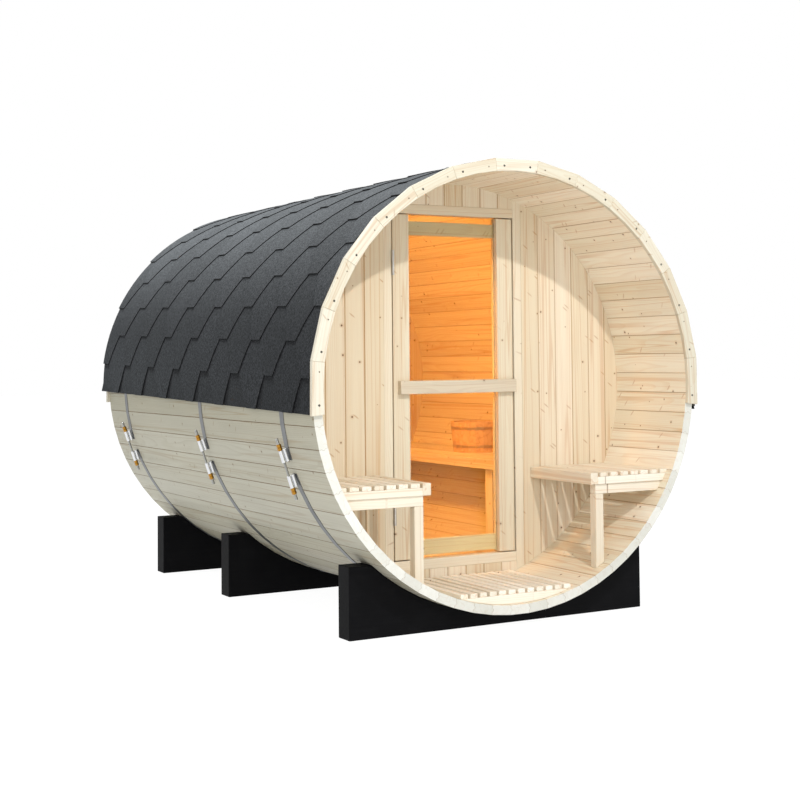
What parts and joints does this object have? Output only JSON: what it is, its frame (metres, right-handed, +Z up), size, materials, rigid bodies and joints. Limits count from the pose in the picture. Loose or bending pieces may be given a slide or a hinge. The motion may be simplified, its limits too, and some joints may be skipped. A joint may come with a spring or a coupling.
{
  "type": "barrel sauna",
  "caption": "Round timber sauna cabin on cradles, with an open porch, benches, a hinged glass door, a shingled roof and steel tightening bands.",
  "frame": {"origin": "on the ground, under the middle of the building's bounding box", "axes": "+X to the right seen from the porch, +Y from the porch towards the back, +Z up"},
  "size_m": [1.8474, 2.515, 1.8832],
  "materials": {
    "stave_wood": "planed spruce, fine grain with small knots",
    "trim_wood": "planed spruce boards",
    "wall_wood": "tongue-and-groove spruce",
    "door_wood": "planed spruce",
    "bench_wood": "planed spruce slats",
    "floor_wood": "planed spruce slats",
    "cradle_black": "black stained timber",
    "shingle": "charcoal mineral granules on bitumen",
    "band_steel": "dull galvanised strap",
    "sleeve_steel": "bright zinc plate",
    "nut_zinc": "yellow zinc plate",
    "hinge_steel": "satin steel",
    "amber_glass": "amber tinted toughened glass",
    "bucket_wood": "oiled pine",
    "hoop_metal": "satin band"
  },
  "bodies": {
    "cabin": {"band_front": "band_steel", "band_middle": "band_steel", "band_rear": "band_steel", "bucket": "bucket_wood", "bucket_hoops": "hoop_metal", "cradle_front": "cradle_black", "cradle_middle": "cradle_black", "cradle_rear": "cradle_black", "door_frame": "door_wood", "front_trim": "trim_wood", "front_wall_left": "wall_wood", "front_wall_over_door": "wall_wood", "front_wall_right": "wall_wood", "front_wall_under_door": "wall_wood", "hinge_posts": "hinge_steel", "ladle": "bucket_wood", "porch_bench_left_frame": "bench_wood", "porch_bench_left_slats": "bench_wood", "porch_bench_right_frame": "bench_wood", "porch_bench_right_slats": "bench_wood", "porch_floor_bearers": "floor_wood", "porch_floor_slats": "floor_wood", "rear_trim": "trim_wood", "rear_wall": "wall_wood", "roof_left_lower": "shingle", "roof_left_middle": "shingle", "roof_left_upper": "shingle", "roof_ridge_cap": "shingle", "roof_right_lower": "shingle", "roof_right_middle": "shingle", "roof_right_upper": "shingle", "room_bench_frame": "bench_wood", "room_bench_slats": "bench_wood", "room_floor_bearers": "floor_wood", "room_floor_slats": "floor_wood", "staves_bottom": "stave_wood", "staves_left": "stave_wood", "staves_lower_left": "stave_wood", "staves_lower_right": "stave_wood", "staves_right": "stave_wood", "staves_top": "stave_wood", "staves_upper_left": "stave_wood", "staves_upper_right": "stave_wood", "tensioner_nuts": "nut_zinc", "tensioner_rods": "sleeve_steel", "tensioner_sleeves": "sleeve_steel"},
    "door": {"door_stiles": "door_wood", "door_glass": "amber_glass", "door_rails": "door_wood", "door_handle_bar": "door_wood", "hinge_leaves": "hinge_steel"}
  },
  "joints": [
    {"name": "door_hinge", "type": "hinge", "parent": "cabin", "child": "door", "pos_m": [-0.301, -0.757, 0.9535], "axis": [0, 0, -1], "range_deg": [0, 95]}
  ]
}
